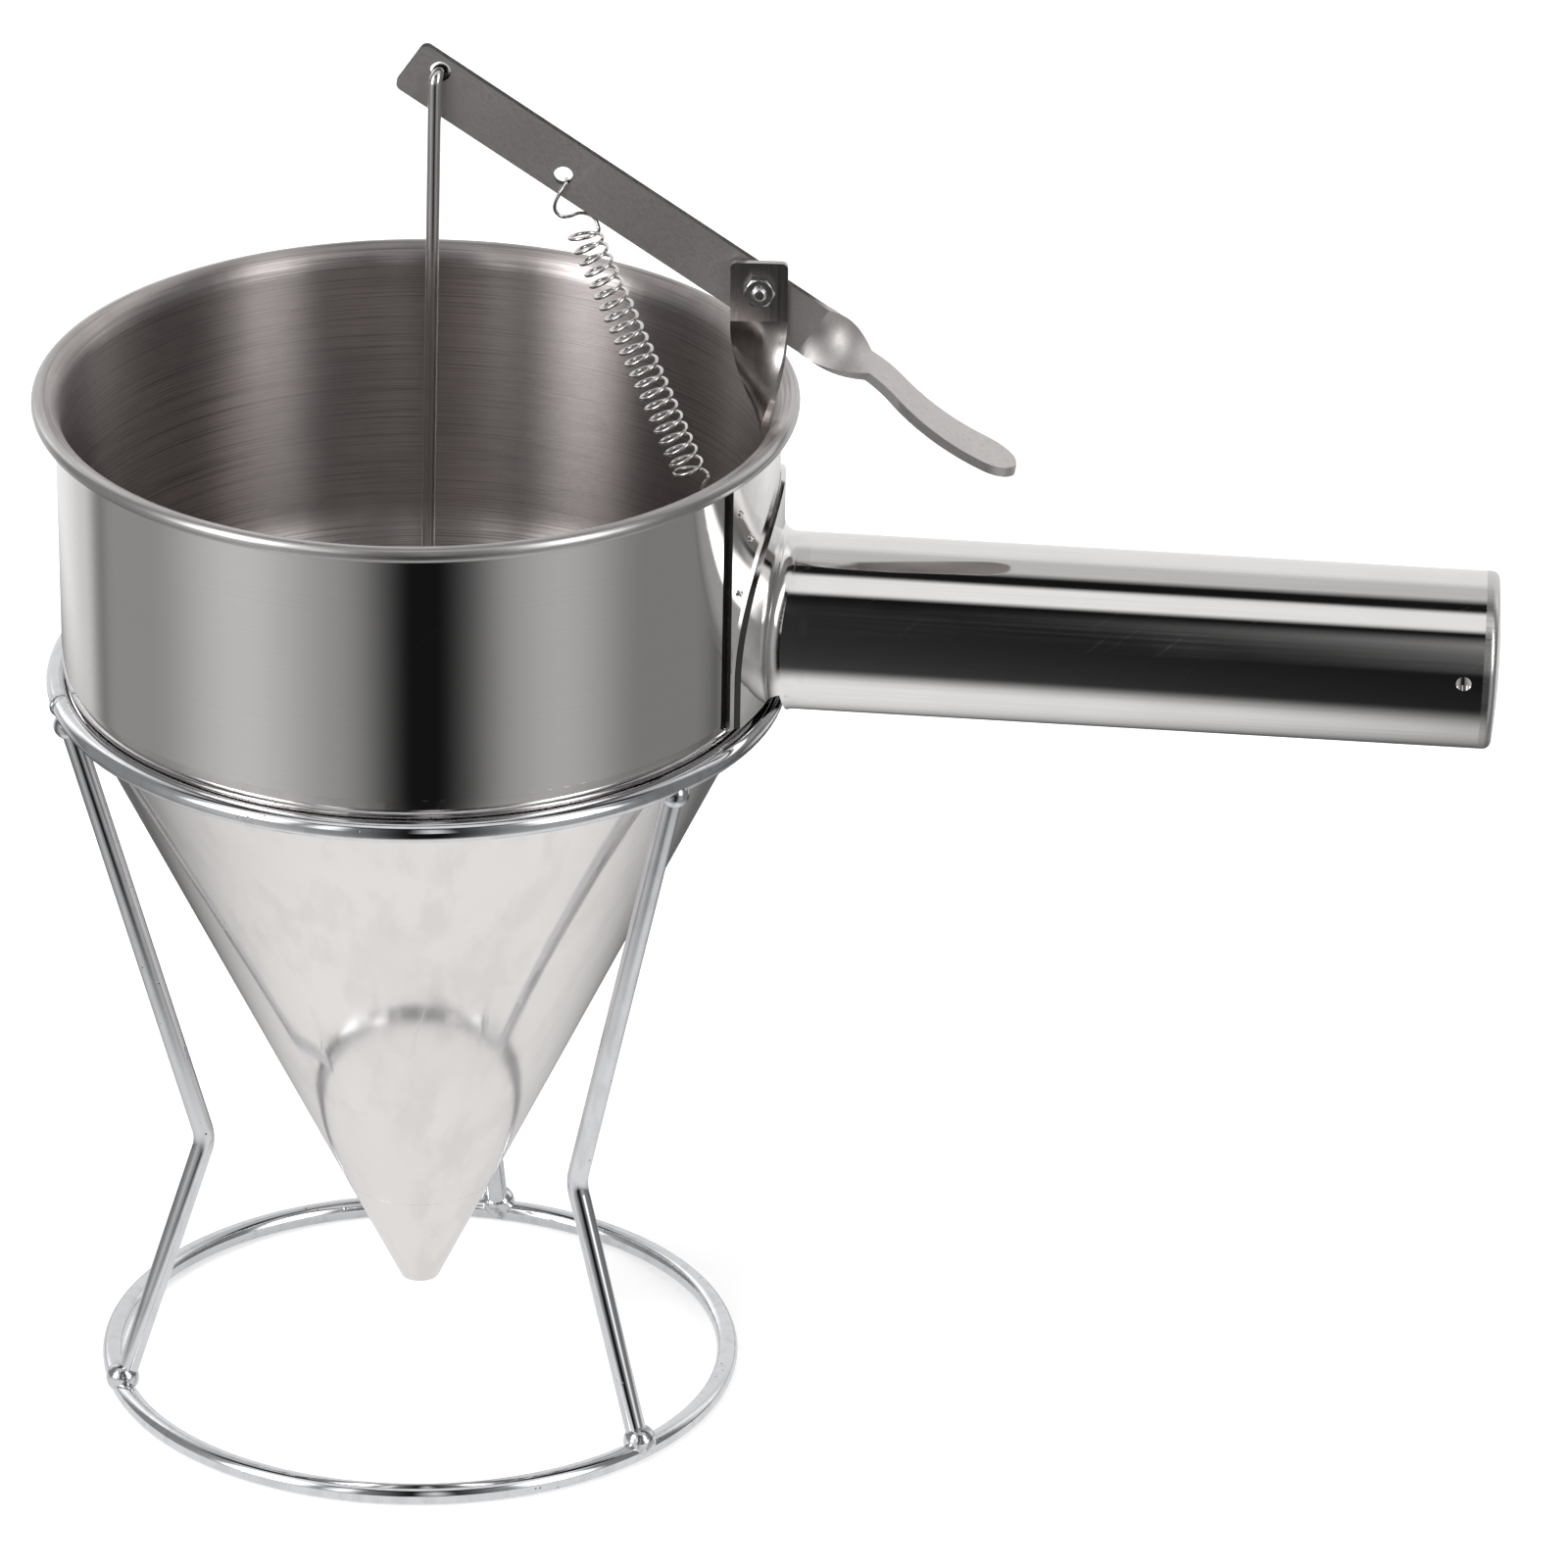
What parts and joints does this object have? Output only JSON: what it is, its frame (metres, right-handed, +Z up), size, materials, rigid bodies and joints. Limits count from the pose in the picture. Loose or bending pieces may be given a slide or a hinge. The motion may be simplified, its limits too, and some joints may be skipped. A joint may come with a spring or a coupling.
{
  "type": "batter dispenser",
  "caption": "Steel funnel hopper with a side handle, a sprung thumb lever that lifts a plug from the outlet by a wire rod, and a wire stand.",
  "frame": {"origin": "centre of the stand's base ring, on the table", "axes": "+Z up along the axis of the stand and the hopper, +X along the handle away from the hopper, +Y to the left of someone who looks along the handle away from the hopper"},
  "size_m": [0.2877, 0.15, 0.2852],
  "materials": {
    "mirror_steel": "mirror-polished stainless steel sheet",
    "cone_steel": "softly polished stainless steel sheet",
    "satin_steel": "satin stainless steel strip",
    "chrome_wire": "bright chrome plating on steel wire",
    "rod_steel": "drawn stainless steel wire",
    "spring_steel": "bright spring wire",
    "fastener_steel": "bright zinc-plated steel",
    "plug_steel": "turned stainless steel"
  },
  "bodies": {
    "stand": {"stand_base_ring": "chrome_wire", "stand_leg_1": "chrome_wire", "stand_leg_2": "chrome_wire", "stand_leg_3": "chrome_wire", "stand_seat_ring": "chrome_wire", "stand_weld_foot_1": "chrome_wire", "stand_weld_foot_2": "chrome_wire", "stand_weld_foot_3": "chrome_wire", "stand_weld_top_1": "chrome_wire", "stand_weld_top_2": "chrome_wire", "stand_weld_top_3": "chrome_wire"},
    "hopper": {"hopper_band": "mirror_steel", "hopper_cone": "cone_steel", "hopper_spout": "cone_steel", "handle_saddle": "mirror_steel", "handle_flange": "mirror_steel", "handle_tube": "mirror_steel", "handle_end_cap": "mirror_steel", "pivot_bracket": "satin_steel", "pivot_spacer": "fastener_steel", "pivot_bolt": "fastener_steel", "pivot_nut": "fastener_steel", "return_spring": "spring_steel"},
    "lever": {"lever": "satin_steel"},
    "plunger": {"plunger_rod": "rod_steel", "plug": "plug_steel"}
  },
  "joints": [
    {"name": "hopper_lift", "type": "slide", "parent": "stand", "child": "hopper", "axis": [0, 0, 1], "range_m": [0, 0.15]},
    {"name": "lever_pivot", "type": "hinge", "parent": "hopper", "child": "lever", "pos_m": [0.067, 0.0025, 0.2369], "axis": [0, 1, 0], "range_deg": [-16.7, 8], "stiffness_Nm_per_rad": 0.35, "springref_deg": -51.57, "deforming": ["return_spring"]},
    {"name": "rod_swing", "type": "hinge", "parent": "lever", "child": "plunger", "pos_m": [0.0049, 0.0025, 0.28001], "axis": [0, 1, 0], "range_deg": [-6.9, 14.4]}
  ],
  "couplings": [
    {"joint": "rod_swing", "follows": "lever_pivot", "ratio": -0.8567}
  ]
}
